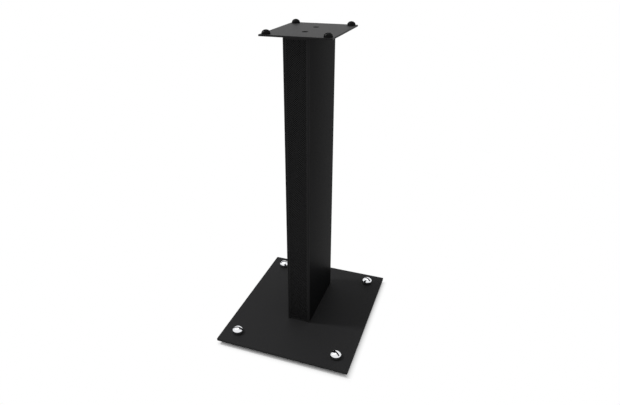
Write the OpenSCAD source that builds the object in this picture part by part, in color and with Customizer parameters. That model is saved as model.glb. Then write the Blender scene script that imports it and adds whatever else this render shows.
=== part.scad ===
// Free-standing loudspeaker stand: a steel base plate on four levelling spikes, one folded
// steel column set back on it with a perforated front, and a thin top plate with four
// rubber domes. Millimetres, +Z up. The origin is on the floor under the middle of the base
// plate, and the perforated front of the column faces -Y.

/* [Overall] */
// Height of the top plate's upper face above the floor
stand_h = 612; // [450:6:900]

/* [Base plate] */
// Width of the base plate, left to right
base_w = 278; // [230:2:340]
// Depth of the base plate, front to back
base_d = 325; // [280:5:400]
// Thickness of the base plate
base_t = 5; // [4.5:0.5:8]
// Gap under the base plate with the spikes as they are set in the factory
base_gap = 9; // [9:0.5:14]
// Radius of the base plate's corners, seen from above
base_corner_r = 1.5; // [1:0.5:8]

/* [Column] */
// Width of the column, left to right
col_w = 48.5; // [44:0.5:70]
// Depth of the column, front to back
col_d = 154.5; // [140:0.5:200]
// Thickness of the column's sheet steel
col_wall = 1.6; // [1.2:0.1:2]
// Inside radius of the column's folds
col_fold_r = 0.8; // [0.5:0.1:1.2]
// Width of the plain lip on each side of the perforated front
col_lip = 3; // [3:0.5:8]
// Distance from the middle of the base plate back to the middle of the column
col_set_back = 24; // [0:1:40]

/* [Perforated front] */
// Thickness of the perforated sheet
grille_t = 1; // [0.8:0.1:1.5]
// Depth of the folded flange on each side of the perforated sheet
grille_flange = 9; // [6:0.5:14]
// Inside radius of the perforated sheet's folds
grille_fold_r = 0.4; // [0.3:0.1:0.8]
// Diameter of a hole
hole_d = 4.8; // [4:0.1:5]
// Distance between neighbouring holes in a row
hole_pitch_x = 8.7; // [8.4:0.1:12]
// Distance between two rows of the same stagger
hole_pitch_z = 7.7; // [7.6:0.1:12]
// Plain margin between the outermost holes and the lips
hole_margin = 0.6; // [0.4:0.1:3]
// Plain band at the top and bottom of the perforated sheet
hole_end_band = 2.5; // [2:0.5:20]

/* [Top plate] */
// Width of the top plate
top_w = 133; // [110:1:200]
// Depth of the top plate
top_d = 166; // [150:1:250]
// Thickness of the top plate
top_t = 3; // [3:0.5:5]
// Radius of the top plate's corners, seen from above
top_corner_r = 1.5; // [1:0.5:8]

/* [Rubber domes] */
// Diameter of a dome
pad_d = 12.7; // [12.6:0.1:16]
// Height of a dome, up to the small flat on its crown
pad_h = 6.2; // [4:0.1:6.2]
// Distance of each dome's axis from the top plate's edges
pad_inset = 10.5; // [9:0.5:20]

/* [End plates] */
// Thickness of the plate welded into the top of the column
top_end_t = 4; // [3:0.5:6]
// Thickness of the plate welded into the foot of the column
foot_end_t = 5; // [4:0.5:8]
// Radius of the end plates' corners, seen from above
end_corner_r = 2; // [1.5:0.5:5]

/* [Top screws] */
// Thread diameter of the screws that hold the top plate
top_screw_d = 6; // [5:0.5:6]
// Height of their countersunk heads, whose sides slope at 45 degrees
top_csk_h = 3; // [2.4:0.1:3]
// Overall length of a top screw
top_screw_l = 14; // [14:1:25]
// Width across the flats of their sockets
top_socket_w = 4; // [3:0.5:5]
// Distance between the two top screws
top_screw_span = 60; // [40:2:90]
// Width across the flats of their weld nuts
top_nut_w = 11; // [10:0.5:13]
// Height of their weld nuts
top_nut_h = 5; // [4:0.5:6]

/* [Foot screws] */
// Thread diameter of the screws that hold the column to the base plate
foot_screw_d = 8; // [6:0.5:8]
// Height of their countersunk heads, whose sides slope at 45 degrees
foot_csk_h = 4; // [3:0.1:4]
// Overall length of a foot screw
foot_screw_l = 20; // [20:1:30]
// Width across the flats of their sockets
foot_socket_w = 5; // [4:0.5:6]
// Distance between the two foot screws
foot_screw_span = 96; // [60:2:110]
// Width across the flats of their weld nuts
foot_nut_w = 14; // [13:0.5:16]
// Height of their weld nuts
foot_nut_h = 6.5; // [5:0.5:8]

/* [Spikes] */
// Distance of each spike's axis from the base plate's edges
spike_inset = 32.5; // [20:0.5:50]
// Thread diameter of a spike
spike_d = 8; // [7:0.5:8]
// Height of a spike's cone
cone_h = 5.5; // [4:0.5:6]
// Diameter of the small flat on a spike's tip
tip_d = 1.2; // [0.8:0.1:2]
// Height of the spike head's underside above the base plate
head_raise = 3; // [3:0.5:5]
// Diameter of the pin that carries the spike's head
neck_d = 6; // [5:0.5:6]
// Length of the pin that carries the spike's head
neck_l = 3; // [2:0.5:3.5]

/* [Spike heads] */
// Diameter of a spike's domed head
head_d = 22; // [18:0.5:26]
// Overall height of a spike's domed head
head_h = 7; // [6.5:0.5:9]
// Height of the straight rim below the dome
head_rim_h = 1.2; // [0.8:0.2:2]
// Width of the slot across the head
slot_w = 3; // [2:0.2:4]
// Depth of the slot below the head's crown
slot_depth = 2.6; // [2:0.2:2.8]
// Angle of the front left head's slot from the X axis
slot_front_left = 18; // [0:1:179]
// Angle of the front right head's slot from the X axis
slot_front_right = 118; // [0:1:179]
// Angle of the rear left head's slot from the X axis
slot_rear_left = 60; // [0:1:179]
// Angle of the rear right head's slot from the X axis
slot_rear_right = 140; // [0:1:179]

/* [Threaded bushes] */
// Diameter of a bush where it sits in the base plate
bush_d = 11; // [10:0.5:13]
// Diameter of its flange under the base plate
bush_flange_d = 16; // [15:0.5:20]
// Thickness of its flange
bush_flange_t = 2.5; // [2:0.1:2.5]

/* [Fits] */
// Clearance all round a thread or a turning pin
turn_gap = 0.05; // [0.03:0.01:0.08]
// Clearance all round a pressed or countersunk piece
seat_gap = 0.02; // [0.02:0.01:0.05]
// Clearance between the perforated sheet and the column's walls
slip_gap = 0.1; // [0.05:0.05:0.2]

/* [Hidden] */

// Every cut runs this far past the faces that it opens
overrun = 1;
round_fn = 48;
hole_fn = 24;
hex_fn = 6;

// Heights of the stack, from the floor up
base_top = base_gap + base_t;
col_top = stand_h - top_t;
col_h = col_top - base_top;

// The column's section
col_inner_w = col_w - 2 * col_wall;
col_inner_d = col_d - 2 * col_wall;
col_outer_r = col_fold_r + col_wall;
col_front_y = col_set_back - col_d / 2;
slot_open_w = col_w - 2 * col_lip;

// The perforated sheet's section and pattern
grille_w = col_inner_w - 2 * slip_gap;
grille_outer_r = grille_fold_r + grille_t;
grille_front_y = col_front_y + col_wall;
grille_web_w = grille_w - 2 * grille_outer_r;
hole_zone_w = min(slot_open_w, grille_web_w) - 2 * hole_margin;
hole_across = floor((hole_zone_w - hole_d) / hole_pitch_x);
hole_rows = floor((col_h - 2 * hole_end_band - hole_d) / hole_pitch_z);

// The end plates fill the column behind the perforated sheet's flanges
end_front_y = grille_front_y + grille_flange + slip_gap;
end_rear_y = col_front_y + col_d - col_wall;
end_d = end_rear_y - end_front_y;
end_mid_y = (end_front_y + end_rear_y) / 2;

// A row of two places, front and rear, about the column's middle
function pair_y(span) = [for (s = [-1, 1]) col_set_back + s * span / 2];

// Signs of the four corners: left or right, front or rear
front_left = [-1, -1];
front_right = [1, -1];
rear_left = [-1, 1];
rear_right = [1, 1];

// Flat rectangle with round corners, centred
module rounded_rect(w, d, r) {
  square([w - 2 * r, d], center = true);
  square([w, d - 2 * r], center = true);
  for (x = [-1, 1], y = [-1, 1])
    translate([x * (w / 2 - r), y * (d / 2 - r)])
      circle(r = r, $fn = round_fn);
}

// Plain round hole through anything from z = 0 to z = h
module through_hole(d, h) {
  translate([0, 0, -overrun])
    cylinder(d = d, h = h + 2 * overrun, $fn = round_fn);
}

// Hexagonal prism measured across its flats
module hexagon(across, h) {
  cylinder(d = across / cos(180 / hex_fn), h = h, $fn = hex_fn);
}

// Cone with sides at 45 degrees, wide end at z = 0, for a countersunk head or its seat
module csk_cone(thread, h) {
  cylinder(d1 = thread + 2 * h, d2 = thread, h = h, $fn = round_fn);
}

// Countersunk socket screw with its head's face at z = 0 and its shank along +Z
module socket_screw(thread, csk_h, length, socket) {
  socket_depth = socket / 2;
  difference() {
    union() {
      csk_cone(thread, csk_h - seat_gap);
      cylinder(d = thread, h = length, $fn = round_fn);
    }
    translate([0, 0, -overrun])
      hexagon(socket, socket_depth + overrun);
  }
}

// Hexagonal weld nut standing on z = 0
module weld_nut(thread, across, h) {
  difference() {
    hexagon(across, h);
    through_hole(thread + 2 * turn_gap, h);
  }
}

// Places a child at a corner of the base plate or of the top plate
module at_spike(corner) {
  translate([corner[0] * (base_w / 2 - spike_inset), corner[1] * (base_d / 2 - spike_inset), 0])
    children();
}

module at_pad(corner) {
  translate([corner[0] * (top_w / 2 - pad_inset),
             col_set_back + corner[1] * (top_d / 2 - pad_inset), stand_h])
    children();
}

// Flat steel plate on four spikes: a bush hole near each corner, two countersunk holes
// from beneath for the screws that pull the column down onto it
module base_plate() {
  color("#2b2b2d")
    difference() {
      translate([0, 0, base_gap])
        linear_extrude(base_t)
          rounded_rect(base_w, base_d, base_corner_r);
      for (corner = [front_left, front_right, rear_left, rear_right])
        at_spike(corner)
          translate([0, 0, base_gap])
            through_hole(bush_d + 2 * seat_gap, base_t);
      for (y = pair_y(foot_screw_span))
        translate([0, y, base_gap]) {
          through_hole(foot_screw_d + 2 * turn_gap, base_t);
          csk_cone(foot_screw_d, foot_csk_h);
        }
    }
}

// One sheet folded to a box section that stays open in front between two narrow lips
module column_shell() {
  color("#232325")
    translate([0, col_set_back, base_top])
      linear_extrude(col_h)
        difference() {
          rounded_rect(col_w, col_d, col_outer_r);
          rounded_rect(col_inner_w, col_inner_d, col_fold_r);
          translate([-slot_open_w / 2, -col_d / 2 - overrun])
            square([slot_open_w, col_wall + col_fold_r + overrun]);
        }
}

// One side of the perforated sheet: a quarter-round fold and the flange behind it
module grille_side() {
  translate([grille_web_w / 2, grille_outer_r]) {
    translate([grille_fold_r, 0])
      square([grille_t, grille_flange - grille_outer_r]);
    intersection() {
      difference() {
        circle(r = grille_outer_r, $fn = round_fn);
        circle(r = grille_fold_r, $fn = round_fn);
      }
      translate([0, -grille_outer_r])
        square(grille_outer_r);
    }
  }
}

// Flat web of the perforated sheet, standing up, with its staggered rows of holes
module grille_web() {
  difference() {
    translate([-grille_web_w / 2, 0])
      square([grille_web_w, col_h]);
    for (row = [0 : 2 * hole_rows])
      for (i = [0 : hole_across - row % 2])
        translate([(i - (hole_across - row % 2) / 2) * hole_pitch_x,
                   col_h / 2 + (row - hole_rows) * hole_pitch_z / 2])
          circle(d = hole_d, $fn = hole_fn);
  }
}

// Perforated front: a shallow folded tray pushed up behind the column's lips
module front_grille() {
  color("#1a1a1c")
    translate([0, grille_front_y, base_top]) {
      rotate([90, 0, 0])
        translate([0, 0, -grille_t])
          linear_extrude(grille_t) grille_web();
      for (m = [0, 1])
        mirror([m, 0, 0])
          linear_extrude(col_h) grille_side();
    }
}

// Plate welded into an end of the column, behind the perforated sheet, drilled for screws
module end_plate(t, thread, span) {
  difference() {
    translate([0, end_mid_y, 0])
      linear_extrude(t)
        rounded_rect(col_inner_w, end_d, end_corner_r);
    for (y = pair_y(span))
      translate([0, y, 0])
        through_hole(thread + 2 * turn_gap, t);
  }
}

module top_end_plate() {
  color("#3a3a3c")
    translate([0, 0, col_top - top_end_t])
      end_plate(top_end_t, top_screw_d, top_screw_span);
}

module foot_end_plate() {
  color("#3a3a3c")
    translate([0, 0, base_top])
      end_plate(foot_end_t, foot_screw_d, foot_screw_span);
}

// Nuts welded to the inner faces of the two end plates
module top_weld_nuts() {
  color("#8c8a84")
    for (y = pair_y(top_screw_span))
      translate([0, y, col_top - top_end_t - top_nut_h])
        weld_nut(top_screw_d, top_nut_w, top_nut_h);
}

module foot_weld_nuts() {
  color("#8c8a84")
    for (y = pair_y(foot_screw_span))
      translate([0, y, base_top + foot_end_t])
        weld_nut(foot_screw_d, foot_nut_w, foot_nut_h);
}

// Thin plate that the loudspeaker stands on, with two countersunk holes on its centreline
module top_plate() {
  color("#2f2f31")
    difference() {
      translate([0, col_set_back, col_top])
        linear_extrude(top_t)
          rounded_rect(top_w, top_d, top_corner_r);
      for (y = pair_y(top_screw_span))
        translate([0, y, stand_h])
          mirror([0, 0, 1]) {
            through_hole(top_screw_d + 2 * turn_gap, top_t);
            csk_cone(top_screw_d, top_csk_h);
          }
    }
}

// Screws down through the top plate, and up through the base plate
module top_screws() {
  color("#151516")
    for (y = pair_y(top_screw_span))
      translate([0, y, stand_h])
        mirror([0, 0, 1])
          socket_screw(top_screw_d, top_csk_h, top_screw_l, top_socket_w);
}

module foot_screws() {
  color("#151516")
    for (y = pair_y(foot_screw_span))
      translate([0, y, base_gap])
        socket_screw(foot_screw_d, foot_csk_h, foot_screw_l, foot_socket_w);
}

// Half-round rubber dome stuck to the top plate, with a small flat moulded on its crown
module pad(corner) {
  color("#0c0c0d")
    at_pad(corner)
      intersection() {
        sphere(d = pad_d, $fn = round_fn);
        translate([-pad_d, -pad_d, 0])
          cube([2 * pad_d, 2 * pad_d, pad_h]);
      }
}

// Threaded bush pressed into the base plate from beneath
module bush(corner) {
  color("#9a9a98")
    at_spike(corner)
      translate([0, 0, base_gap])
        difference() {
          union() {
            cylinder(d = bush_d, h = base_t, $fn = round_fn);
            translate([0, 0, -bush_flange_t])
              cylinder(d = bush_flange_d, h = bush_flange_t, $fn = round_fn);
          }
          translate([0, 0, -bush_flange_t])
            through_hole(spike_d + 2 * turn_gap, base_t + bush_flange_t);
        }
}

// Spike: a cone with a blunt tip on the floor, the threaded shank, and the pin for the head
module spike(corner) {
  shank_top = base_top + head_raise;
  color("#b9bbbe")
    at_spike(corner)
      union() {
        cylinder(d1 = tip_d, d2 = spike_d, h = cone_h, $fn = round_fn);
        translate([0, 0, cone_h])
          cylinder(d = spike_d, h = shank_top - cone_h, $fn = round_fn);
        translate([0, 0, shank_top])
          cylinder(d = neck_d, h = neck_l, $fn = round_fn);
      }
}

// Domed head with a slot for a coin, by which the spike is screwed up and down
module head(corner, slot_angle) {
  cap_h = head_h - head_rim_h;
  cap_r = (head_d * head_d / 4 + cap_h * cap_h) / (2 * cap_h);
  color("#d9dade")
    at_spike(corner)
      translate([0, 0, base_top + head_raise])
        difference() {
          intersection() {
            cylinder(d = head_d, h = head_h + overrun, $fn = round_fn);
            translate([0, 0, head_h - cap_r])
              sphere(r = cap_r, $fn = round_fn);
          }
          rotate([0, 0, slot_angle])
            translate([-head_d, -slot_w / 2, head_h - slot_depth])
              cube([2 * head_d, slot_w, slot_depth + overrun]);
          translate([0, 0, -overrun])
            cylinder(d = neck_d + 2 * turn_gap, h = neck_l + turn_gap + overrun, $fn = round_fn);
        }
}

base_plate();
column_shell();
front_grille();
top_plate();
top_end_plate();
foot_end_plate();
top_weld_nuts();
foot_weld_nuts();
top_screws();
foot_screws();
pad(front_left);  // pad_front_left
pad(front_right);  // pad_front_right
pad(rear_left);  // pad_rear_left
pad(rear_right);  // pad_rear_right
bush(front_left);  // bush_front_left
bush(front_right);  // bush_front_right
bush(rear_left);  // bush_rear_left
bush(rear_right);  // bush_rear_right
spike(front_left);  // spike_front_left
spike(front_right);  // spike_front_right
spike(rear_left);  // spike_rear_left
spike(rear_right);  // spike_rear_right
head(front_left, slot_front_left);  // head_front_left
head(front_right, slot_front_right);  // head_front_right
head(rear_left, slot_rear_left);  // head_rear_left
head(rear_right, slot_rear_right);  // head_rear_right
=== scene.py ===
import math

import bmesh
import bpy
import numpy as np
from mathutils import Matrix, Vector
from mathutils.geometry import delaunay_2d_cdt


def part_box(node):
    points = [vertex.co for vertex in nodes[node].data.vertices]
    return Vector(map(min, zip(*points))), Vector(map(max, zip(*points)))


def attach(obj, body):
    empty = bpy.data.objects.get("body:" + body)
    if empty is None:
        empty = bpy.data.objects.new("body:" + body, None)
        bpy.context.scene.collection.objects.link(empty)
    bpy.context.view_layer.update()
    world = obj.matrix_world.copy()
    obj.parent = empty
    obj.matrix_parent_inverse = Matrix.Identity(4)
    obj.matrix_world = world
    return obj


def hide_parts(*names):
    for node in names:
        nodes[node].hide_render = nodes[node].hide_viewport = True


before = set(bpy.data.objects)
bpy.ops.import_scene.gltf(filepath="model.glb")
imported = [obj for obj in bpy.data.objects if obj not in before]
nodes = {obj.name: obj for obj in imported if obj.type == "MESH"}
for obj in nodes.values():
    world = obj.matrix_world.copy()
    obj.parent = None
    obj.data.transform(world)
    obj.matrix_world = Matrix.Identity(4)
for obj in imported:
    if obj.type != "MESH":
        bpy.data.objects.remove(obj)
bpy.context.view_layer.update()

# Camera
# The photograph was taken from a little to the stand's right, above the top plate. The view was
# worked out from the stand's own straight edges, as a place, two angles and a focal length.
camera_place = (0.3158, -0.8811, 0.7503)
camera_yaw = 0.3514
camera_pitch = -0.4280
camera_roll = -0.0053
photo_width, photo_height = 620.0, 405.0
focal_px = 515.72
axis_px = (303.16, 180.28)

camera_data = bpy.data.cameras.new("photo_camera")
camera_data.sensor_width = 36.0
camera_data.sensor_fit = "HORIZONTAL"
camera_data.lens = focal_px / photo_width * camera_data.sensor_width
camera_data.shift_x = (photo_width / 2 - axis_px[0]) / photo_width
camera_data.shift_y = (axis_px[1] - photo_height / 2) / photo_width
camera_data.clip_start = 0.01
camera_data.clip_end = 60.0
camera = bpy.data.objects.new("photo_camera", camera_data)
bpy.context.scene.collection.objects.link(camera)
ahead = Vector((-math.sin(camera_yaw) * math.cos(camera_pitch),
                math.cos(camera_yaw) * math.cos(camera_pitch),
                math.sin(camera_pitch)))
level_right = Vector((math.cos(camera_yaw), math.sin(camera_yaw), 0.0))
level_up = level_right.cross(ahead)
right = level_right * math.cos(camera_roll) + level_up * math.sin(camera_roll)
up = level_up * math.cos(camera_roll) - level_right * math.sin(camera_roll)
turn = Matrix((right, up, -ahead)).transposed()
camera.matrix_world = Matrix.Translation(camera_place) @ turn.to_4x4()
bpy.context.scene.camera = camera
bpy.context.scene.view_settings.view_transform = "Standard"

# Floor, background and light
# A white studio: the floor and the background show white to the eye and in the chrome, and a
# small lamp high on the left leaves the column's shadow on the base and a short one beside it.
floor_size = 40.0
floor_white = (0.93, 0.93, 0.93, 1.0)
floor_lift = (0.40, 0.40, 0.40, 1.0)
shadow_fades_from = -0.010
shadow_fades_to = 0.012
background_fill = 0.42
background_white = (1.0, 1.0, 1.0, 1.0)

floor_mesh = bpy.data.meshes.new("studio_floor")
half = floor_size / 2
floor_mesh.from_pydata([(-half, -half, 0), (half, -half, 0), (half, half, 0), (-half, half, 0)],
                       [], [(0, 1, 2, 3)])
floor = bpy.data.objects.new("studio_floor", floor_mesh)
bpy.context.scene.collection.objects.link(floor)


def new_material(name):
    """An empty node material: returns the material, its nodes, its links and its output node."""
    made = bpy.data.materials.new(name)
    made.use_nodes = True
    tree = made.node_tree
    tree.nodes.clear()
    output = tree.nodes.new("ShaderNodeOutputMaterial")
    return made, tree.nodes, tree.links, output


def seen_white(tree_nodes, tree_links):
    """One where a ray comes from the eye, from a gloss or through glass, and zero elsewhere."""
    path = tree_nodes.new("ShaderNodeLightPath")
    either = tree_nodes.new("ShaderNodeMath")
    either.operation = "MAXIMUM"
    tree_links.new(path.outputs["Is Camera Ray"], either.inputs[0])
    tree_links.new(path.outputs["Is Glossy Ray"], either.inputs[1])
    all_three = tree_nodes.new("ShaderNodeMath")
    all_three.operation = "MAXIMUM"
    tree_links.new(either.outputs[0], all_three.inputs[0])
    tree_links.new(path.outputs["Is Transmission Ray"], all_three.inputs[1])
    return all_three.outputs[0]


floor_material, n, l, floor_out = new_material("studio_floor_white")
floor_plain = n.new("ShaderNodeBsdfDiffuse")
floor_plain.inputs["Color"].default_value = floor_white
floor_again = n.new("ShaderNodeBsdfDiffuse")
floor_again.inputs["Color"].default_value = floor_lift
floor_sum = n.new("ShaderNodeAddShader")
l.new(floor_plain.outputs[0], floor_sum.inputs[0])
l.new(floor_again.outputs[0], floor_sum.inputs[1])
floor_place = n.new("ShaderNodeTexCoord")
floor_parts = n.new("ShaderNodeSeparateXYZ")
l.new(floor_place.outputs["Object"], floor_parts.inputs[0])
outside = []
for axis, base_side in (("X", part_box("base_plate")[1][0]), ("Y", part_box("base_plate")[1][1])):
    far = n.new("ShaderNodeMath")
    far.operation = "ABSOLUTE"
    l.new(floor_parts.outputs[axis], far.inputs[0])
    beyond = n.new("ShaderNodeMath")
    beyond.operation = "SUBTRACT"
    beyond.inputs[1].default_value = base_side
    l.new(far.outputs[0], beyond.inputs[0])
    outside.append(beyond.outputs[0])
furthest = n.new("ShaderNodeMath")
furthest.operation = "MAXIMUM"
l.new(outside[0], furthest.inputs[0])
l.new(outside[1], furthest.inputs[1])
fade = n.new("ShaderNodeMapRange")
fade.interpolation_type = "SMOOTHSTEP"
fade.inputs["From Min"].default_value = shadow_fades_from
fade.inputs["From Max"].default_value = shadow_fades_to
l.new(furthest.outputs[0], fade.inputs["Value"])
floor_far = n.new("ShaderNodeEmission")
floor_far.inputs["Color"].default_value = background_white
floor_seen = n.new("ShaderNodeMixShader")
l.new(fade.outputs[0], floor_seen.inputs[0])
l.new(floor_sum.outputs[0], floor_seen.inputs[1])
l.new(floor_far.outputs[0], floor_seen.inputs[2])
floor_mix = n.new("ShaderNodeMixShader")
l.new(seen_white(n, l), floor_mix.inputs[0])
l.new(floor_plain.outputs[0], floor_mix.inputs[1])
l.new(floor_seen.outputs[0], floor_mix.inputs[2])
l.new(floor_mix.outputs[0], floor_out.inputs["Surface"])
floor_mesh.materials.append(floor_material)

world = bpy.data.worlds.new("studio")
bpy.context.scene.world = world
world.use_nodes = True
n, l = world.node_tree.nodes, world.node_tree.links
n.clear()
world_out = n.new("ShaderNodeOutputWorld")
world_fill = n.new("ShaderNodeBackground")
world_fill.inputs["Color"].default_value = background_white
world_fill.inputs["Strength"].default_value = background_fill
world_seen = n.new("ShaderNodeBackground")
world_seen.inputs["Color"].default_value = background_white
world_seen.inputs["Strength"].default_value = 1.0
world_mix = n.new("ShaderNodeMixShader")
l.new(seen_white(n, l), world_mix.inputs[0])
l.new(world_fill.outputs[0], world_mix.inputs[1])
l.new(world_seen.outputs[0], world_mix.inputs[2])
l.new(world_mix.outputs[0], world_out.inputs["Surface"])


def soft_lamp(name, place, aim, width, height, power):
    """A rectangular studio lamp at a place, turned to face a point."""
    data = bpy.data.lights.new(name, "AREA")
    data.shape = "RECTANGLE"
    data.size = width
    data.size_y = height
    data.energy = power
    lamp = bpy.data.objects.new(name, data)
    bpy.context.scene.collection.objects.link(lamp)
    lamp.location = place
    lamp.rotation_euler = (Vector(aim) - Vector(place)).to_track_quat("-Z", "Y").to_euler()
    return lamp


key_place, key_aim = (-1.35, -0.32, 1.95), (0.0, 0.0, 0.3)
key_side, key_power = 0.22, 20.0
overhead_place, overhead_aim = (-0.3, 0.4, 2.4), (0.0, 0.0, 0.2)
overhead_side, overhead_power = 1.0, 6.0
soft_lamp("key_lamp", key_place, key_aim, key_side, key_side, key_power)
soft_lamp("overhead_softbox", overhead_place, overhead_aim, overhead_side, overhead_side,
          overhead_power)

# Base plate
# A flat piece of 5 mm steel, cut to size with its edges broken, and powder coated black. Each
# corner has a hole for a threaded bush, and two countersunk holes below take the foot screws.
base_low, base_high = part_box("base_plate")
base_corner_r = 0.0015
base_edge_r = 0.0005
plate_flat_rim = 0.0003
corner_steps = 8
hole_steps = 64


def welded_mesh(name, grids, caps=(), merge=2e-7, sharp_above=32.0):
    """One closed mesh from grids of points and flat caps. In a grid, rows and columns that are
    neighbours are joined by faces with four corners; a cap is points with triangles. Points that
    coincide become one, and a face that has lost a side is closed up or dropped."""
    points, quads, triangles, start = [], [], [], 0
    for grid in grids:
        rows, columns = grid.shape[:2]
        number = start + np.arange(rows * columns).reshape(rows, columns)
        corners = (number[:-1, :-1], number[1:, :-1], number[1:, 1:], number[:-1, 1:])
        quads.append(np.stack(corners, -1).reshape(-1, 4))
        points.append(grid.reshape(-1, 3))
        start += rows * columns
    for cap_points, cap_triangles in caps:
        triangles.append(cap_triangles + start)
        points.append(cap_points)
        start += len(cap_points)
    points = np.concatenate(points)
    _, first, label = np.unique(np.round(points / merge).astype(np.int64), axis=0,
                                return_index=True, return_inverse=True)
    label = label.reshape(-1)
    faces = []
    if quads:
        four = label[np.concatenate(quads)]
        same = four == np.roll(four, -1, axis=1)
        cross = (four[:, 0] == four[:, 2]) | (four[:, 1] == four[:, 3])
        faces += four[(same.sum(1) == 0) & ~cross].tolist()
        for side in range(4):
            closed = four[(same.sum(1) == 1) & same[:, side] & ~cross]
            faces += np.delete(closed, side, axis=1).tolist()
    if triangles:
        three = label[np.concatenate(triangles)]
        whole = (three != np.roll(three, -1, axis=1)).all(1)
        faces += three[whole].tolist()
    mesh = bpy.data.meshes.new(name)
    mesh.from_pydata(points[first].tolist(), [], faces)
    shape = bmesh.new()
    shape.from_mesh(mesh)
    bmesh.ops.delete(shape, geom=[v for v in shape.verts if not v.link_faces], context="VERTS")
    bmesh.ops.recalc_face_normals(shape, faces=shape.faces)
    shape.to_mesh(mesh)
    shape.free()
    mesh.polygons.foreach_set("use_smooth", np.ones(len(mesh.polygons), bool))
    mesh.set_sharp_from_angle(angle=math.radians(sharp_above))
    made = bpy.data.objects.new(name, mesh)
    bpy.context.scene.collection.objects.link(made)
    return made


def flat_cap(loops, z):
    """Triangles that fill a flat outline at height z, less its holes. The first loop is the
    outline, and every other is a round hole."""
    places, edges, owner = [], [], []
    for number, loop in enumerate(loops):
        start = len(places)
        places += [Vector(p) for p in loop.tolist()]
        edges += [(start + i, start + (i + 1) % len(loop)) for i in range(len(loop))]
        owner += [number] * len(loop)
    found, _, faces, origin, _, _ = delaunay_2d_cdt(places, edges, [], 2, 1e-9, True)
    flat = np.array([(p[0], p[1], z) for p in found])
    triangles = np.array(faces)
    whose = np.array([owner[o[0]] for o in origin])[triangles]
    in_hole = (whose[:, 0] == whose[:, 1]) & (whose[:, 1] == whose[:, 2]) & (whose[:, 0] > 0)
    return flat, triangles[~in_hole]


def rectangle_loop(centre, width, depth, corner_r, inset):
    """Points round a rectangle with round corners, drawn in by an inset on every side."""
    quarter = np.linspace(0, math.pi / 2, corner_steps + 1)
    loop = []
    for k, (sx, sy) in enumerate(((1, 1), (-1, 1), (-1, -1), (1, -1))):
        angle = quarter + k * math.pi / 2
        x = centre[0] + sx * (width / 2 - corner_r) + (corner_r - inset) * np.cos(angle)
        y = centre[1] + sy * (depth / 2 - corner_r) + (corner_r - inset) * np.sin(angle)
        loop.append(np.stack([x, y], 1))
    return np.concatenate(loop)


def circle_loop(x, y, radius, steps=hole_steps):
    angle = np.arange(steps) * 2 * math.pi / steps
    return np.stack([x + radius * np.cos(angle), y + radius * np.sin(angle)], 1)


def lifted(loop, z):
    """A closed row of points at one height: the loop's points with the first one again."""
    ring = np.concatenate([loop, loop[:1]])
    return np.concatenate([ring, np.full((len(ring), 1), z)], 1)


def plate_piece(name, low, high, corner_r, edge_r, holes):
    """A flat plate between two corners of its box. A small round runs along its outer edges, and
    each hole is a place and a list of radii and heights from the top face to the bottom one."""
    width, depth = high[0] - low[0], high[1] - low[1]
    centre = ((low[0] + high[0]) / 2, (low[1] + high[1]) / 2)
    quarter = np.linspace(0, math.pi / 2, 5)
    section = [(edge_r + plate_flat_rim, low[2])]
    section += [(edge_r - edge_r * math.sin(a), low[2] + edge_r - edge_r * math.cos(a)) for a in quarter]
    section += [(edge_r - edge_r * math.cos(a), high[2] - edge_r + edge_r * math.sin(a)) for a in quarter]
    section += [(edge_r + plate_flat_rim, high[2])]
    grids = [np.stack([lifted(rectangle_loop(centre, width, depth, corner_r, inset), z)
                       for inset, z in section])]
    grids += [np.stack([lifted(circle_loop(x, y, r), z) for r, z in rings]) for x, y, rings in holes]
    edge = rectangle_loop(centre, width, depth, corner_r, edge_r + plate_flat_rim)
    above = flat_cap([edge] + [circle_loop(x, y, rings[0][0]) for x, y, rings in holes], high[2])
    below = flat_cap([edge] + [circle_loop(x, y, rings[-1][0]) for x, y, rings in holes], low[2])
    return welded_mesh(name, grids, [above, below])


def drilled(low, high, radius, broken=0.0002):
    """A straight hole's radii and heights, with its two edges broken."""
    return [(radius + 2 * broken, high), (radius + broken, high), (radius, high - broken),
            (radius, low + broken), (radius + broken, low), (radius + 2 * broken, low)]


def countersunk(near, far, wide_r, thread_r, broken=0.0002):
    """A hole with a 45 degree seat that opens at height near, as radii and heights."""
    way = 1 if far > near else -1
    seat_end = near + way * (wide_r - thread_r)
    return [(wide_r + broken, near), (wide_r, near), (thread_r, seat_end),
            (thread_r, far - way * broken), (thread_r + broken, far), (thread_r + 2 * broken, far)]


corners = ("front_left", "front_right", "rear_left", "rear_right")
spike_axis = {c: (sum(p[0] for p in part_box("spike_" + c)) / 2,
                  sum(p[1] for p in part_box("spike_" + c)) / 2) for c in corners}
bush_hole_r = 0.00552
foot_low, foot_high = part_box("foot_screws")
foot_head_r = (foot_high[0] - foot_low[0]) / 2
foot_thread_r = 0.00405
foot_axis_y = (foot_low[1] + foot_head_r, foot_high[1] - foot_head_r)
base_holes = [(x, y, drilled(base_low[2], base_high[2], bush_hole_r)) for x, y in spike_axis.values()]
base_holes += [(0.0, y, countersunk(base_low[2], base_high[2], foot_head_r, foot_thread_r)[::-1])
               for y in foot_axis_y]
base = plate_piece("base_plate_coated", base_low, base_high, base_corner_r, base_edge_r, base_holes)


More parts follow.
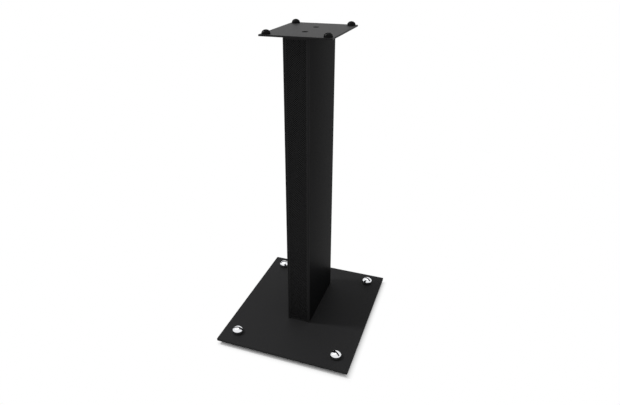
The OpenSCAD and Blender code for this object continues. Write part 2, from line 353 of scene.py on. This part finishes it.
def grain_group():
    """Shader group for a fine powder coat. Three sizes of noise in the piece's own coordinates
    give its sandy skin, its slow unevenness and the places where it is a little glossier."""
    group = bpy.data.node_groups.new("powder_grain", "ShaderNodeTree")
    face = group.interface
    face.new_socket("Colour", in_out="INPUT", socket_type="NodeSocketColor")
    face.new_socket("Roughness", in_out="INPUT", socket_type="NodeSocketFloat")
    face.new_socket("Skin scale", in_out="INPUT", socket_type="NodeSocketFloat")
    face.new_socket("Unevenness", in_out="INPUT", socket_type="NodeSocketFloat")
    face.new_socket("Colour", in_out="OUTPUT", socket_type="NodeSocketColor")
    face.new_socket("Roughness", in_out="OUTPUT", socket_type="NodeSocketFloat")
    face.new_socket("Height", in_out="OUTPUT", socket_type="NodeSocketFloat")
    gn, gl = group.nodes, group.links
    given = gn.new("NodeGroupInput")
    result = gn.new("NodeGroupOutput")
    where = gn.new("ShaderNodeTexCoord")

    def noise(scale, detail):
        """A noise over Object coordinates; scale is a number or a socket."""
        made = gn.new("ShaderNodeTexNoise")
        made.inputs["Detail"].default_value = detail
        gl.new(where.outputs["Object"], made.inputs["Vector"])
        if isinstance(scale, float):
            made.inputs["Scale"].default_value = scale
        else:
            gl.new(scale, made.inputs["Scale"])
        return made.outputs["Fac"]

    def math_node(operation, first, second):
        made = gn.new("ShaderNodeMath")
        made.operation = operation
        for socket, value in zip(made.inputs, (first, second)):
            if isinstance(value, (int, float)):
                socket.default_value = value
            else:
                gl.new(value, socket)
        return made.outputs[0]

    skin = noise(given.outputs["Skin scale"], 3.0)
    peel = noise(240.0, 2.0)
    cloud = noise(9.0, 3.0)
    uneven = math_node("MULTIPLY", math_node("SUBTRACT", cloud, 0.5), given.outputs["Unevenness"])
    gl.new(math_node("ADD", given.outputs["Roughness"], uneven), result.inputs["Roughness"])
    speck = math_node("MULTIPLY", math_node("SUBTRACT", skin, 0.5), 1.1)
    shade = math_node("ADD", math_node("ADD", 1.0, speck), math_node("MULTIPLY", uneven, 2.0))
    tint = gn.new("ShaderNodeVectorMath")
    tint.operation = "SCALE"
    gl.new(given.outputs["Colour"], tint.inputs[0])
    gl.new(shade, tint.inputs["Scale"])
    gl.new(tint.outputs[0], result.inputs["Colour"])
    height = math_node("ADD", skin, math_node("MULTIPLY", peel, 0.6))
    gl.new(height, result.inputs["Height"])
    return group


powder_grain = grain_group()


def coated(name, colour, roughness, specular, skin_scale=2600.0, skin_depth=0.00003, uneven=0.05):
    """Powder-coated steel: a dark, broken-up gloss over a sandy skin."""
    made, n, l, output = new_material(name)
    skin = n.new("ShaderNodeGroup")
    skin.node_tree = powder_grain
    skin.inputs["Colour"].default_value = (*colour, 1.0)
    skin.inputs["Roughness"].default_value = roughness
    skin.inputs["Skin scale"].default_value = skin_scale
    skin.inputs["Unevenness"].default_value = uneven
    shader = n.new("ShaderNodeBsdfPrincipled")
    shader.inputs["Specular IOR Level"].default_value = specular
    bump = n.new("ShaderNodeBump")
    bump.inputs["Strength"].default_value = 1.0
    bump.inputs["Distance"].default_value = skin_depth
    l.new(skin.outputs["Colour"], shader.inputs["Base Color"])
    l.new(skin.outputs["Roughness"], shader.inputs["Roughness"])
    l.new(skin.outputs["Height"], bump.inputs["Height"])
    l.new(bump.outputs["Normal"], shader.inputs["Normal"])
    l.new(shader.outputs[0], output.inputs["Surface"])
    return made


base_coat = coated("base_powder_coat", (0.0250, 0.0250, 0.0257), 0.60, 0.05)
base.data.materials.append(base_coat)
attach(base, "frame")
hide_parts("base_plate")

# Threaded bushes
# Four zinc-plated steel bushes, pressed into the base plate from beneath until their flanges
# seat on it. Their turned faces carry fine rings from the lathe.


def turned_metal(name, colour, roughness, ring_pitch=0.00035, painted_shade_mask=None):
    """Bare or plated steel with a slow smudge in its polish and a fine grain. Where the mesh has
    a mask of that name, the colour is painted dark there: painted shade, as in a slot."""
    painted_shade_tone = (0.03, 0.03, 0.032, 1.0)
    made, n, l, output = new_material(name)
    where = n.new("ShaderNodeTexCoord")
    smudge = n.new("ShaderNodeTexNoise")
    smudge.inputs["Scale"].default_value = 90.0
    smudge.inputs["Detail"].default_value = 3.0
    l.new(where.outputs["Object"], smudge.inputs["Vector"])
    polish = n.new("ShaderNodeMapRange")
    polish.inputs["To Min"].default_value = roughness * 0.8
    polish.inputs["To Max"].default_value = roughness * 1.25
    l.new(smudge.outputs["Fac"], polish.inputs["Value"])
    grain = n.new("ShaderNodeTexNoise")
    grain.inputs["Scale"].default_value = 1.0 / ring_pitch
    grain.inputs["Detail"].default_value = 2.0
    l.new(where.outputs["Object"], grain.inputs["Vector"])
    tone = n.new("ShaderNodeMix")
    tone.data_type = "RGBA"
    tone.inputs["A"].default_value = (*[c * 0.9 for c in colour], 1.0)
    tone.inputs["B"].default_value = (*colour, 1.0)
    l.new(smudge.outputs["Fac"], tone.inputs["Factor"])
    bump = n.new("ShaderNodeBump")
    bump.inputs["Strength"].default_value = 0.5
    bump.inputs["Distance"].default_value = 0.000004
    l.new(grain.outputs["Fac"], bump.inputs["Height"])
    shader = n.new("ShaderNodeBsdfPrincipled")
    shader.inputs["Metallic"].default_value = 1.0
    # Painted shade: masked faces take a dark colour in place of the metal's own.
    if painted_shade_mask:
        mask = n.new("ShaderNodeAttribute")
        mask.attribute_name = painted_shade_mask
        shade_mixed = n.new("ShaderNodeMix")
        shade_mixed.data_type = "RGBA"
        shade_mixed.inputs["B"].default_value = painted_shade_tone
        l.new(mask.outputs["Fac"], shade_mixed.inputs["Factor"])
        l.new(tone.outputs["Result"], shade_mixed.inputs["A"])
        l.new(shade_mixed.outputs["Result"], shader.inputs["Base Color"])
    else:
        l.new(tone.outputs["Result"], shader.inputs["Base Color"])
    l.new(polish.outputs[0], shader.inputs["Roughness"])
    l.new(bump.outputs["Normal"], shader.inputs["Normal"])
    l.new(shader.outputs[0], output.inputs["Surface"])
    return made


zinc = turned_metal("bright_zinc", (0.62, 0.62, 0.60), 0.32)
for corner in corners:
    bush = nodes["bush_" + corner]
    bush.data.materials.clear()
    bush.data.materials.append(zinc)

# Levelling spikes
# Each is turned from steel bar: a blunt cone on the floor, an M8 thread that runs in the bush,
# and a short neck that carries the head. It rises and sinks with its head.
thread_pitch = 0.00125
thread_depth = 0.00068
thread_rows_per_turn = 10
thread_columns = 48


def threaded_radius(height, angle, major_r):
    """Radius of a right-hand thread at a height and an angle: it falls and climbs once a pitch
    and once a turn, with flat crests and roots between straight flanks."""
    share = np.mod(height / thread_pitch - angle / (2 * math.pi), 1.0)
    flank = np.clip(np.abs(2 * share - 1) * 1.5 - 0.25, 0.0, 1.0)
    return major_r - thread_depth * (1 - flank)


def ring_rows(axis, radius_at, heights, steps):
    """Rows of points round an upright axis; radius_at gives a radius for a height and angles."""
    angle = np.linspace(0, 2 * math.pi, steps + 1)
    rows = []
    for z in heights:
        r = radius_at(z, angle) * np.ones_like(angle)
        rows.append(np.stack([axis[0] + r * np.cos(angle), axis[1] + r * np.sin(angle),
                              np.full_like(angle, z)], 1))
    grid = np.stack(rows)
    grid[:, -1] = grid[:, 0]
    return grid


def spike_piece(name, axis, low, high, cone_h, tip_r, shank_r, shank_top, neck_r):
    cone_r = lambda z: tip_r + (shank_r - tip_r) * (z - low) / cone_h
    rows = int(round((shank_top - low) / thread_pitch * thread_rows_per_turn))
    heights = np.linspace(low, shank_top, rows + 1)
    body = ring_rows(axis, lambda z, a: np.minimum(cone_r(z), threaded_radius(z, a, shank_r)),
                     heights, thread_columns)
    tip = ring_rows(axis, lambda z, a: 0.0, [low], thread_columns)
    neck = ring_rows(axis, lambda z, a: neck_r, [shank_top, high], thread_columns)
    end = ring_rows(axis, lambda z, a: 0.0, [high], thread_columns)
    return welded_mesh(name, [np.concatenate([tip, body, neck, end])], sharp_above=24.0)


spike_steel = turned_metal("spike_steel", (0.66, 0.66, 0.65), 0.26)
spike_cone_h = 0.0055
spike_tip_r = 0.0006
spike_neck_r = 0.003
for corner in corners:
    low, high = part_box("spike_" + corner)
    head_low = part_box("head_" + corner)[0]
    spike = spike_piece("spike_threaded_" + corner, spike_axis[corner], low[2], high[2], spike_cone_h,
                        spike_tip_r, (high[0] - low[0]) / 2, head_low[2], spike_neck_r)
    spike.data.materials.append(spike_steel)
    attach(spike, "spike_" + corner)
    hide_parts("spike_" + corner)

# Spike heads
# Chrome-plated domes over a straight rim, with a slot for a coin, one on each spike. They stand a
# few millimetres clear of the base plate, so the dark plate shows in the chrome of the rim.
head_r = 0.0106
head_h = 0.0102
head_rim_h = 0.0046
slot_half = 0.0015
slot_depth = 0.004
slot_round = 0.0003
rim_broken = 0.0002
neck_clearance = 0.00005
mask_margin = 0.00002
mask_below_top = 0.0001
slot_angles = {"front_left": 10.0, "front_right": 149.0, "rear_left": 22.0, "rear_right": 151.0}


def slotted_dome(name, axis, z, angle):
    """A dome cut across by a slot, over a straight rim. The top is taken in slices square to the
    slot: along each one the surface runs over the dome, round the slot's edge, down its wall,
    over its floor and up again. The dome's height is a circle's arc. A mask marks the slot's
    walls and floor, where the chrome gets painted shade."""
    cap_h = head_h - head_rim_h
    cap_r = (head_r ** 2 + cap_h ** 2) / (2 * cap_h)
    along = head_r * np.sin(np.linspace(-1, 1, 73) * math.pi / 2)
    half_chord = np.sqrt(np.maximum(head_r ** 2 - along ** 2, 0.0))
    cap_steps = 1 - np.cos(np.linspace(0, 1, 15) * math.pi / 2)
    round_steps = 1 - np.sin(np.linspace(0, 1, 6) * math.pi / 2)

    def dome(x, y):
        return head_h - cap_r + np.sqrt(np.maximum(cap_r ** 2 - x ** 2 - y ** 2, 0.0))

    floor_z = head_h - slot_depth
    slices = []
    for x, c in zip(along, half_chord):
        outer = min(slot_half + slot_round, c)
        cap_y = c - (c - outer) * cap_steps
        round_y = np.minimum(slot_half + slot_round * round_steps, c)
        y = np.concatenate([cap_y, round_y[1:]])
        inward = np.clip(slot_round - (y - slot_half), 0.0, slot_round)
        drop = slot_round - np.sqrt(np.maximum(slot_round ** 2 - inward ** 2, 0.0))
        sunk = np.minimum(dome(x, y), floor_z)
        top = np.maximum(dome(x, y) - drop, sunk)
        floor_y = np.array([1.0, 0.5]) * min(slot_half, c)
        floor_top = np.minimum(dome(x, floor_y), floor_z)
        one = np.concatenate([np.stack([y, top], 1), np.stack([floor_y, floor_top], 1)])
        middle = np.array([[0.0, min(dome(x, 0.0), floor_z)]])
        other = one[::-1] * (-1, 1)
        across = np.concatenate([one, middle, other])
        slices.append(np.concatenate([np.full((len(across), 1), x), across], 1))
    top = np.stack(slices)
    edge = np.concatenate([top[:, 0, :2], top[::-1, -1, :2]])
    neck_r = spike_neck_r + neck_clearance
    bore_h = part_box("spike_front_left")[1][2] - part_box("head_front_left")[0][2] + neck_clearance
    rings = [(1.0, head_rim_h), (1.0, rim_broken), (1.0 - rim_broken / head_r, 0.0),
             (neck_r / head_r, 0.0), (neck_r / head_r, bore_h), (0.0, bore_h)]
    side = np.stack([np.concatenate([edge * share, np.full((len(edge), 1), height)], 1)
                     for share, height in rings])
    placed = []
    spin = np.array(((math.cos(angle), -math.sin(angle)), (math.sin(angle), math.cos(angle))))
    for grid in (top, side):
        grid = grid.copy()
        grid[..., :2] = grid[..., :2] @ spin.T + np.array(axis)
        grid[..., 2] += z
        placed.append(grid)
    made = welded_mesh(name, placed)
    place = np.empty(len(made.data.vertices) * 3)
    made.data.vertices.foreach_get("co", place)
    place = place.reshape(-1, 3)
    own = (place[:, :2] - np.array(axis)) @ spin
    height = place[:, 2] - z
    inside = (np.abs(own[:, 1]) < slot_half + mask_margin) & (height > floor_z - mask_margin)
    inside &= height < dome(own[:, 0], own[:, 1]) - mask_below_top
    # Painted shade: this mask darkens the slot in the chrome material.
    mask = made.data.attributes.new("painted_slot_shade", "FLOAT", "POINT")
    mask.data.foreach_set("value", inside.astype(np.float32))
    return made


chrome = turned_metal("chrome_plate", (0.86, 0.87, 0.89), 0.07, painted_shade_mask="painted_slot_shade")
for corner in corners:
    head = slotted_dome("spike_head_" + corner, spike_axis[corner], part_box("head_" + corner)[0][2],
                        math.radians(slot_angles[corner]))
    head.data.materials.append(chrome)
    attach(head, "head_" + corner)
    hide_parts("head_" + corner)

# Column
# One sheet of 1.6 mm steel, folded to a box that stays open in front between two 3 mm lips, and
# powder coated inside and out. The folds are round, and the lips' cut edges are broken.
col_low, col_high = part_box("column_shell")
col_wall = 0.0016
col_fold_r = 0.0008
col_lip = 0.003
fold_steps = 10
column_black = (0.0065, 0.0065, 0.0068)
# Painted highlight: a lighter coat colour for the front folds and lips.
fold_highlight_tone = (0.026, 0.026, 0.0266)


def folded_path(half_w, front, back, lip, middle_r):
    """The sheet's middle line seen from above, from one lip round the back to the other: straight
    runs joined by quarter circles. Returns the places and the directions to the outside."""
    quarter = np.linspace(0, math.pi / 2, fold_steps + 1)
    places = [(-half_w + lip, front)]
    out = [(0.0, -1.0)]
    turns = (((-half_w + middle_r, front + middle_r), 1.5), ((-half_w + middle_r, back - middle_r), 1.0),
             ((half_w - middle_r, back - middle_r), 0.5), ((half_w - middle_r, front + middle_r), 0.0))
    for (x, y), quarter_turns in turns:
        angle = quarter_turns * math.pi - quarter
        places += list(zip(x + middle_r * np.cos(angle), y + middle_r * np.sin(angle)))
        out += list(zip(np.cos(angle), np.sin(angle)))
    places.append((half_w - lip, front))
    out.append((0.0, -1.0))
    return np.array(places), np.array(out)


def sheet_piece(name, places, out, thickness, z_low, z_high, broken=0.00025):
    """Sheet metal carried along a path seen from above: at each place a tall thin rectangle with
    broken corners stands across the sheet. Its two ends are closed flat."""
    h = thickness / 2
    section = [(-h, z_low + broken), (-h + broken, z_low), (h - broken, z_low), (h, z_low + broken),
               (h, z_high - broken), (h - broken, z_high), (-h + broken, z_high), (-h, z_high - broken)]
    section = np.array(section + section[:1])
    flat = places[:, None, :] + out[:, None, :] * section[None, :, :1]
    grid = np.concatenate([flat, np.broadcast_to(section[None, :, 1:], flat.shape[:2] + (1,))], 2)
    ends = []
    for row in (grid[0], grid[-1]):
        ends.append(np.stack([row[:4], row[[7, 6, 5, 4]]]))
    return welded_mesh(name, [grid] + ends)


col_mid_r = col_fold_r + col_wall / 2
half_w = (col_high[0] - col_low[0]) / 2 - col_wall / 2
places, out = folded_path(half_w, col_low[1] + col_wall / 2, col_high[1] - col_wall / 2,
                          col_lip - col_wall / 2, col_mid_r)
column = sheet_piece("column_folded", places, out, col_wall, col_low[2], col_high[2])
column_coat = coated("column_powder_coat", column_black, 0.42, 0.0055)
# Painted highlight: near the front the coat takes the lighter colour, which fades to the plain black between
# 2.4 and 4 mm behind the front. It stands in for the light that the folds catch.
n, l = column_coat.node_tree.nodes, column_coat.node_tree.links
where = n.new("ShaderNodeTexCoord")
parts = n.new("ShaderNodeSeparateXYZ")
l.new(where.outputs["Object"], parts.inputs[0])
folded = n.new("ShaderNodeMapRange")
folded.inputs["From Min"].default_value = col_low[1] + col_fold_r + col_wall
folded.inputs["From Max"].default_value = col_low[1] + col_fold_r + 2 * col_wall
l.new(parts.outputs["Y"], folded.inputs["Value"])
fold_highlight_mix = n.new("ShaderNodeMix")
fold_highlight_mix.data_type = "RGBA"
fold_highlight_mix.inputs["A"].default_value = (*fold_highlight_tone, 1.0)
fold_highlight_mix.inputs["B"].default_value = (*column_black, 1.0)
l.new(folded.outputs[0], fold_highlight_mix.inputs["Factor"])
skin = next(node for node in n if node.type == "GROUP")
l.new(fold_highlight_mix.outputs["Result"], skin.inputs["Colour"])
column.data.materials.append(column_coat)
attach(column, "frame")
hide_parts("column_shell")

# Perforated front
# A strip of 1 mm sheet with staggered 2.3 mm holes, its two sides folded back, pushed up behind
# the column's lips and spot-welded there. Nothing but the dark column lies behind its holes.
sheet_low, sheet_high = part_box("front_grille")
sheet_t = 0.001
sheet_fold_r = 0.0004
sheet_hole_d = 0.0023
sheet_pitch_x = 0.00434
sheet_pitch_z = 0.00385
sheet_end_band = 0.0022
sheet_margin = 0.0006
sheet_hole_sides = 12


def perforated_piece(name, low, high):
    """The flat web with its holes, between two round folds and two flanges. Rows of holes stand
    half a pitch apart, and every second row is moved sideways by half a pitch."""
    outer_r = sheet_fold_r + sheet_t
    web_half = (high[0] - low[0]) / 2 - outer_r
    height = high[2] - low[2]
    open_half = (col_high[0] - col_low[0]) / 2 - col_lip
    zone = 2 * min(web_half, open_half) - 2 * sheet_margin
    across = int((zone - sheet_hole_d) / sheet_pitch_x)
    rows = int((height - 2 * sheet_end_band - sheet_hole_d) / sheet_pitch_z)
    row = np.repeat(np.arange(2 * rows + 1), across + 1)
    place = np.tile(np.arange(across + 1), 2 * rows + 1)
    kept = place <= across - row % 2
    row, place = row[kept], place[kept]
    x = (place - (across - row % 2) / 2) * sheet_pitch_x
    z = (low[2] + high[2]) / 2 + (row - rows) * sheet_pitch_z / 2
    angle = (np.arange(sheet_hole_sides) + 0.5) * 2 * math.pi / sheet_hole_sides
    ring = np.stack([np.cos(angle), np.sin(angle)], 1) * sheet_hole_d / 2
    holes = np.stack([x, z], 1)[:, None, :] + ring[None]
    frame_loop = np.array([(-web_half, low[2]), (web_half, low[2]),
                           (web_half, high[2]), (-web_half, high[2])])
    flat, triangles = flat_cap([frame_loop] + list(holes), 0.0)
    caps = []
    for y in (low[1], low[1] + sheet_t):
        caps.append((np.stack([flat[:, 0], np.full(len(flat), y), flat[:, 1]], 1), triangles))
    grids = []
    closed = np.concatenate([holes, holes[:, :1]], 1)
    for hole in closed:
        front = np.stack([hole[:, 0], np.full(len(hole), low[1]), hole[:, 1]], 1)
        grids.append(np.stack([front, front + (0.0, sheet_t, 0.0)]))
    quarter = np.linspace(0, math.pi / 2, 7)
    for side in (-1, 1):
        fold_x = side * (web_half + outer_r * np.sin(quarter))
        fold_y = low[1] + outer_r - outer_r * np.cos(quarter)
        in_x = side * (web_half + sheet_fold_r * np.sin(quarter))
        in_y = low[1] + outer_r - sheet_fold_r * np.cos(quarter)
        outside = np.stack([np.append(fold_x, fold_x[-1]), np.append(fold_y, high[1])], 1)
        inside = np.stack([np.append(in_x, in_x[-1]), np.append(in_y, high[1])], 1)
        loop = np.concatenate([outside, inside[::-1]])
        grids.append(np.stack([lifted(loop, low[2])[:-1], lifted(loop, high[2])[:-1]]))
        for z_end in (low[2], high[2]):
            grids.append(np.stack([lifted(outside, z_end)[:-1], lifted(inside, z_end)[:-1]]))
    for z_end in (low[2], high[2]):
        strip = np.array([[(-web_half, low[1], z_end), (web_half, low[1], z_end)],
                          [(-web_half, low[1] + sheet_t, z_end), (web_half, low[1] + sheet_t, z_end)]])
        grids.append(strip)
    return welded_mesh(name, grids, caps)


perforated = perforated_piece("perforated_front", sheet_low, sheet_high)
sheet_coat = coated("sheet_powder_coat", (0.0190, 0.0190, 0.0195), 0.60, 0.12)
perforated.data.materials.append(sheet_coat)
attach(perforated, "frame")
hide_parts("front_grille")

# End plates and weld nuts
# Flat plates welded into the two ends of the column, coated with it, and the bright nuts
# welded to them. They can be seen only through the perforated front.
inner_coat = coated("inner_powder_coat", (0.005, 0.005, 0.0052), 0.8, 0.1)
for name in ("top_end_plate", "foot_end_plate"):
    nodes[name].data.materials.clear()
    nodes[name].data.materials.append(inner_coat)
for name in ("top_weld_nuts", "foot_weld_nuts"):
    nodes[name].data.materials.clear()
    nodes[name].data.materials.append(zinc)

# Top plate
# The plate that the loudspeaker stands on: 3 mm steel with the same coat, laid a little
# smoother, and two countersunk holes on its centreline.
top_low, top_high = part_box("top_plate")
top_corner_r = 0.0015
top_edge_r = 0.0004
top_screw_low, top_screw_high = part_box("top_screws")
top_head_r = (top_screw_high[0] - top_screw_low[0]) / 2
top_thread_r = 0.00305
top_axis_y = (top_screw_low[1] + top_head_r, top_screw_high[1] - top_head_r)
top_holes = [(0.0, y, countersunk(top_high[2], top_low[2], top_head_r + 0.00002, top_thread_r))
             for y in top_axis_y]
top = plate_piece("top_plate_coated", top_low, top_high, top_corner_r, top_edge_r, top_holes)
top_coat = coated("top_powder_coat", (0.013, 0.013, 0.0135), 0.50, 0.10)
top.data.materials.append(top_coat)
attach(top, "frame")
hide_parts("top_plate")

# Screws
# Black countersunk socket screws: two M6 down through the top plate and two M8 up through the
# base plate. Each has a hexagonal socket with a chamfered mouth, and a cut thread.
screw_columns = 60


def hexagon_radius(angle, across):
    """Distance from a hexagon's middle to its side, for a width across the flats."""
    turned = np.mod(angle + math.pi / 6, math.pi / 3) - math.pi / 6
    return across / 2 / np.cos(turned)


def screw_pieces(name, axes_y, face_z, way, head_r, shank_r, length, across):
    """Two screws in one mesh. Each is a run of rings, from the floor of the socket up its six
    walls, over the head's face, down the cone and along the thread to a chamfered end."""
    cone = head_r - shank_r
    grids = []
    for y in axes_y:
        axis = (0.0, y)
        down = lambda depth: face_z - way * depth
        rows = [ring_rows(axis, lambda z, a: 0.0, [down(across * 0.55)], screw_columns),
                ring_rows(axis, lambda z, a: hexagon_radius(a, across), [down(across * 0.5)], screw_columns),
                ring_rows(axis, lambda z, a: hexagon_radius(a, across), [down(0.0002)], screw_columns),
                ring_rows(axis, lambda z, a: across * 0.6, [down(0.0)], screw_columns),
                ring_rows(axis, lambda z, a: head_r - 0.0003, [down(0.0)], screw_columns),
                ring_rows(axis, lambda z, a: head_r, [down(0.0002)], screw_columns),
                ring_rows(axis, lambda z, a: shank_r, [down(0.0002 + cone)], screw_columns)]
        turns = (length - cone) / (thread_pitch * 0.8)
        depths = np.linspace(cone + 0.0004, length - 0.0006, int(turns * 8))
        rows.append(ring_rows(axis, lambda z, a: threaded_radius(z * 1.25, a, shank_r), down(depths),
                              screw_columns))
        rows.append(ring_rows(axis, lambda z, a: shank_r - 0.0008, [down(length)], screw_columns))
        rows.append(ring_rows(axis, lambda z, a: 0.0, [down(length)], screw_columns))
        grids.append(np.concatenate(rows))
    return welded_mesh(name, grids, sharp_above=25.0)


black_oxide = coated("black_oxide", (0.006, 0.006, 0.0063), 0.80, 0.0, 3200.0, 0.00001)
top_screws = screw_pieces("top_plate_screws", top_axis_y, top_high[2], 1, top_head_r, 0.003,
                          top_screw_high[2] - top_screw_low[2], 0.004)
foot_screws = screw_pieces("base_plate_screws", foot_axis_y, base_low[2], -1, foot_head_r, 0.004,
                           foot_high[2] - foot_low[2], 0.005)
for screws, node in ((top_screws, "top_screws"), (foot_screws, "foot_screws")):
    screws.data.materials.append(black_oxide)
    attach(screws, "frame")
    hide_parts(node)

# Rubber domes
# Moulded half-round bumpers stuck near the corners of the top plate. They are gloss black rubber,
# on a short straight foot, with a small flat on the crown.
dome_columns = 64
dome_edge = 0.0002
dome_flat_at = 81.0
dome_r = 0.0079
dome_h = 0.0074
dome_foot_h = 0.0012


def dome_piece(name, low, high):
    """A dome turned about its axis: over a short straight foot, rings whose radius and height
    follow a quarter of an ellipse, cut flat just below its crown."""
    axis = ((low[0] + high[0]) / 2, (low[1] + high[1]) / 2)
    rise = dome_h - dome_foot_h
    flat_at = math.radians(dome_flat_at)
    climb = np.linspace(0, flat_at, 26)
    rows = [ring_rows(axis, lambda z, a: 0.0, [low[2]], dome_columns),
            ring_rows(axis, lambda z, a: dome_r - dome_edge, [low[2]], dome_columns),
            ring_rows(axis, lambda z, a: dome_r, [low[2] + dome_edge], dome_columns)]
    for t in climb:
        z_here = low[2] + dome_foot_h + rise * math.sin(t) / math.sin(flat_at)
        rows.append(ring_rows(axis, lambda z, a: dome_r * math.cos(t), [z_here], dome_columns))
    rows.append(ring_rows(axis, lambda z, a: 0.0, [low[2] + dome_h], dome_columns))
    return welded_mesh(name, [np.concatenate(rows)], sharp_above=40.0)


def moulded_rubber(name, colour, roughness):
    """Gloss black rubber with a faint skin from its mould and dust in its polish."""
    made, n, l, output = new_material(name)
    where = n.new("ShaderNodeTexCoord")
    dust = n.new("ShaderNodeTexNoise")
    dust.inputs["Scale"].default_value = 700.0
    dust.inputs["Detail"].default_value = 3.0
    l.new(where.outputs["Object"], dust.inputs["Vector"])
    polish = n.new("ShaderNodeMapRange")
    polish.inputs["To Min"].default_value = roughness * 0.75
    polish.inputs["To Max"].default_value = roughness * 1.3
    l.new(dust.outputs["Fac"], polish.inputs["Value"])
    tone = n.new("ShaderNodeMix")
    tone.data_type = "RGBA"
    tone.inputs["A"].default_value = (*[c * 0.7 for c in colour], 1.0)
    tone.inputs["B"].default_value = (*[c * 1.3 for c in colour], 1.0)
    l.new(dust.outputs["Fac"], tone.inputs["Factor"])
    bump = n.new("ShaderNodeBump")
    bump.inputs["Strength"].default_value = 0.4
    bump.inputs["Distance"].default_value = 0.00001
    l.new(dust.outputs["Fac"], bump.inputs["Height"])
    shader = n.new("ShaderNodeBsdfPrincipled")
    shader.inputs["Specular IOR Level"].default_value = 0.0
    shader.inputs["Coat Weight"].default_value = 0.14
    shader.inputs["Coat Roughness"].default_value = 0.24
    l.new(tone.outputs["Result"], shader.inputs["Base Color"])
    l.new(polish.outputs[0], shader.inputs["Roughness"])
    l.new(bump.outputs["Normal"], shader.inputs["Normal"])
    l.new(shader.outputs[0], output.inputs["Surface"])
    return made


rubber = moulded_rubber("dome_rubber", (0.003, 0.003, 0.0032), 0.60)
for corner in corners:
    pad_low, pad_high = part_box("pad_" + corner)
    pad = dome_piece("rubber_dome_" + corner, pad_low, pad_high)
    pad.data.materials.append(rubber)
    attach(pad, "frame")
    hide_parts("pad_" + corner)
